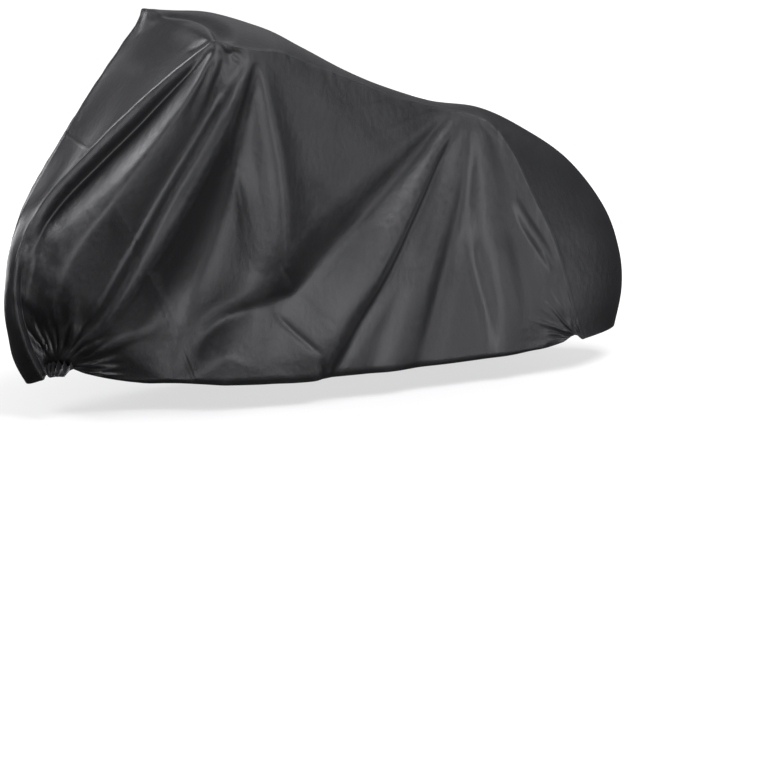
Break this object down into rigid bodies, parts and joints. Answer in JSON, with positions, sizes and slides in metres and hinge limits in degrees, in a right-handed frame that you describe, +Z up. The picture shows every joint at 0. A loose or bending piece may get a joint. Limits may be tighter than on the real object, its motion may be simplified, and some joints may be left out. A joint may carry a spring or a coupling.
{
  "type": "bicycle cover",
  "caption": "Fitted rain cover for a whole bicycle, draped over handlebar, saddle and wheels, with side panels, a gusset and a gathered hem.",
  "frame": {"origin": "middle of the cover's length and width at the lowest edge of its hem", "axes": "+X towards the rear wheel, +Y towards the far side panel, +Z up"},
  "size_m": [2.0004, 0.674, 1.0772],
  "materials": {
    "coated_cloth": "black coated polyester with a soft sheen, silver coating on its inner face"
  },
  "bodies": {
    "root": {"side_panel_near": "coated_cloth", "side_panel_far": "coated_cloth", "gusset_front": "coated_cloth", "gusset_top": "coated_cloth"}
  },
  "joints": []
}
